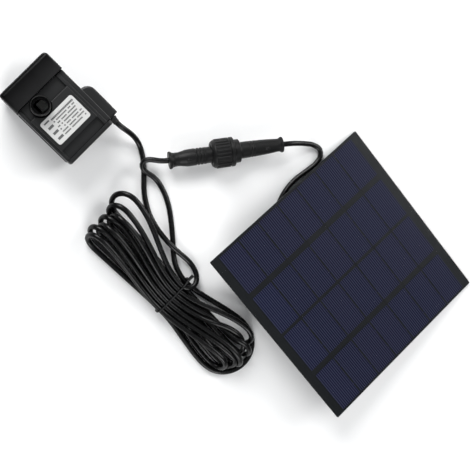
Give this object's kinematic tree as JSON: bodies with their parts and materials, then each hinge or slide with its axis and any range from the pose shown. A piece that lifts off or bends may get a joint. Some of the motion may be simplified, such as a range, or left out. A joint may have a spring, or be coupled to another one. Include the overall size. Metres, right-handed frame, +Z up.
{
  "type": "solar fountain pump",
  "caption": "Small submersible fountain pump with a hanked cable and screw-lock connector, fed by a square solar panel that leans on its junction box.",
  "frame": {"origin": "on the table, under the middle of the box around the pump and the panel", "axes": "+X along the pump from its strainer to its rear cover, +Y to the pump's cable side, +Z up"},
  "size_m": [0.3326, 0.1979, 0.0402],
  "materials": {
    "pump_shell": "satin moulded ABS",
    "strainer_black": "smooth moulded ABS",
    "black_rubber": "matt",
    "white_plastic": "satin",
    "magnet_grey": "sintered ferrite",
    "ceramic": "polished ceramic",
    "lamination_steel": "rolled sheet",
    "copper_wire": "enamelled",
    "board_green": "solder mask",
    "chip_black": "moulded epoxy",
    "resin_black": "cast resin",
    "white_label": "satin paper film",
    "cable_jacket": "satin PVC",
    "tie_black": "satin",
    "connector_black": "matt nylon",
    "contact_brass": "plain",
    "board_black": "glass-fibre board",
    "solar_cell": "silicon wafer with a printed grid",
    "clear_laminate": "clear cast epoxy",
    "box_black": "fine moulded texture"
  },
  "bodies": {
    "pump": {"pump_housing": "pump_shell", "rear_cover": "pump_shell", "impeller_cover": "pump_shell", "outlet_nozzle": "pump_shell", "chamber_seal": "black_rubber", "rotor_shaft": "ceramic", "front_bush": "black_rubber", "rear_bush": "black_rubber", "stator_core": "lamination_steel", "left_coil": "copper_wire", "right_coil": "copper_wire", "driver_board": "board_green", "driver_chip": "chip_black", "board_capacitor": "chip_black", "potting_resin": "resin_black", "cable_grommet": "black_rubber", "name_label": "white_label", "suction_cup_1": "black_rubber", "suction_cup_2": "black_rubber", "suction_cup_3": "black_rubber", "suction_cup_4": "black_rubber", "pump_lead": "cable_jacket", "cable_hank": "cable_jacket", "plug_lead": "cable_jacket", "twist_tie": "tie_black", "plug_body": "connector_black", "plug_pin_1": "contact_brass", "plug_pin_2": "contact_brass", "seal_ring": "black_rubber"},
    "rotor": {"impeller": "white_plastic", "rotor_magnet": "magnet_grey"},
    "strainer": {"strainer_cover": "strainer_black"},
    "nut": {"lock_nut": "connector_black"},
    "panel": {"panel_board": "board_black", "cell_string_1": "solar_cell", "cell_string_2": "solar_cell", "cell_string_3": "solar_cell", "cell_string_4": "solar_cell", "front_laminate": "clear_laminate", "junction_box": "box_black", "junction_box_lid": "box_black", "blocking_diode": "chip_black", "terminal_tab_1": "contact_brass", "terminal_tab_2": "contact_brass", "panel_grommet": "black_rubber", "panel_lead": "cable_jacket", "socket_body": "connector_black", "socket_contact_1": "contact_brass", "socket_contact_2": "contact_brass"}
  },
  "joints": [
    {"name": "impeller_spin", "type": "hinge", "parent": "pump", "child": "rotor", "pos_m": [-0.143, -0.0602, 0.016], "axis": [1, 0, 0], "continuous": true},
    {"name": "strainer_pull", "type": "slide", "parent": "pump", "child": "strainer", "axis": [-1, 0, 0], "range_m": [0, 0.02]},
    {"name": "nut_turn", "type": "hinge", "parent": "pump", "child": "nut", "pos_m": [-0.0596, -0.0313, 0.0103], "axis": [0.6018, 0.7986, 0], "continuous": true},
    {"name": "connector_pull", "type": "slide", "parent": "pump", "child": "panel", "axis": [0.6018, 0.7986, 0], "range_m": [0, 0.025]}
  ]
}
